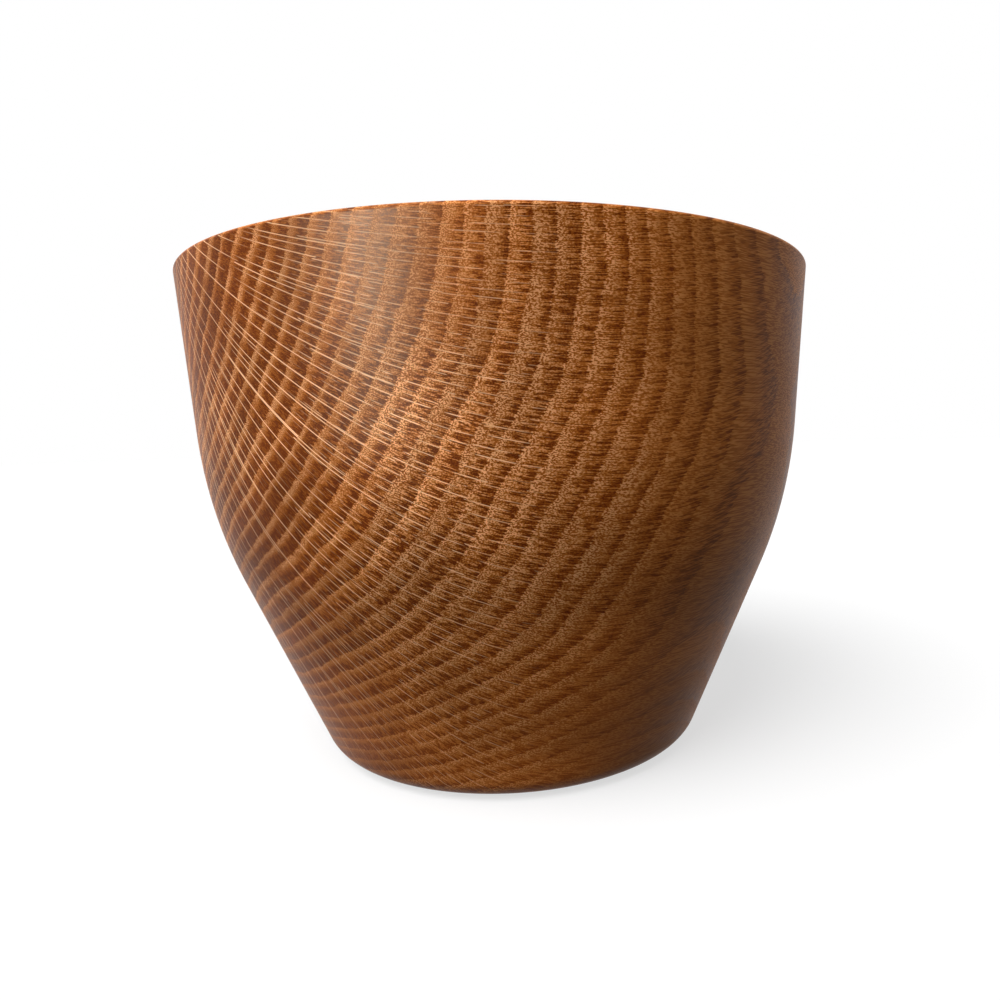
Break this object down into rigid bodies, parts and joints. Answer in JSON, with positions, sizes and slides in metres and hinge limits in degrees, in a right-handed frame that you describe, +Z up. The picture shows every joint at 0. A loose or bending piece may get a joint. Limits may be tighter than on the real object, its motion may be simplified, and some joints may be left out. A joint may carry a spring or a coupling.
{
  "type": "wooden serving bowl",
  "caption": "Deep, steep-sided round bowl turned from solid oak, with an even wall, an eased rim and a flat foot ring, for serving food or holding small things.",
  "frame": {"origin": "centre of the foot, on the surface that the bowl stands on", "axes": "+Z up along the turning axis, towards the rim; the bowl is round, so X and Y are free, and -Y faces the viewer of the picture"},
  "size_m": [0.1358, 0.1358, 0.1036],
  "materials": {
    "oiled_oak": "satin oil over open-pored ring-porous grain"
  },
  "bodies": {
    "root": {"bowl_body": "oiled_oak"}
  },
  "joints": []
}
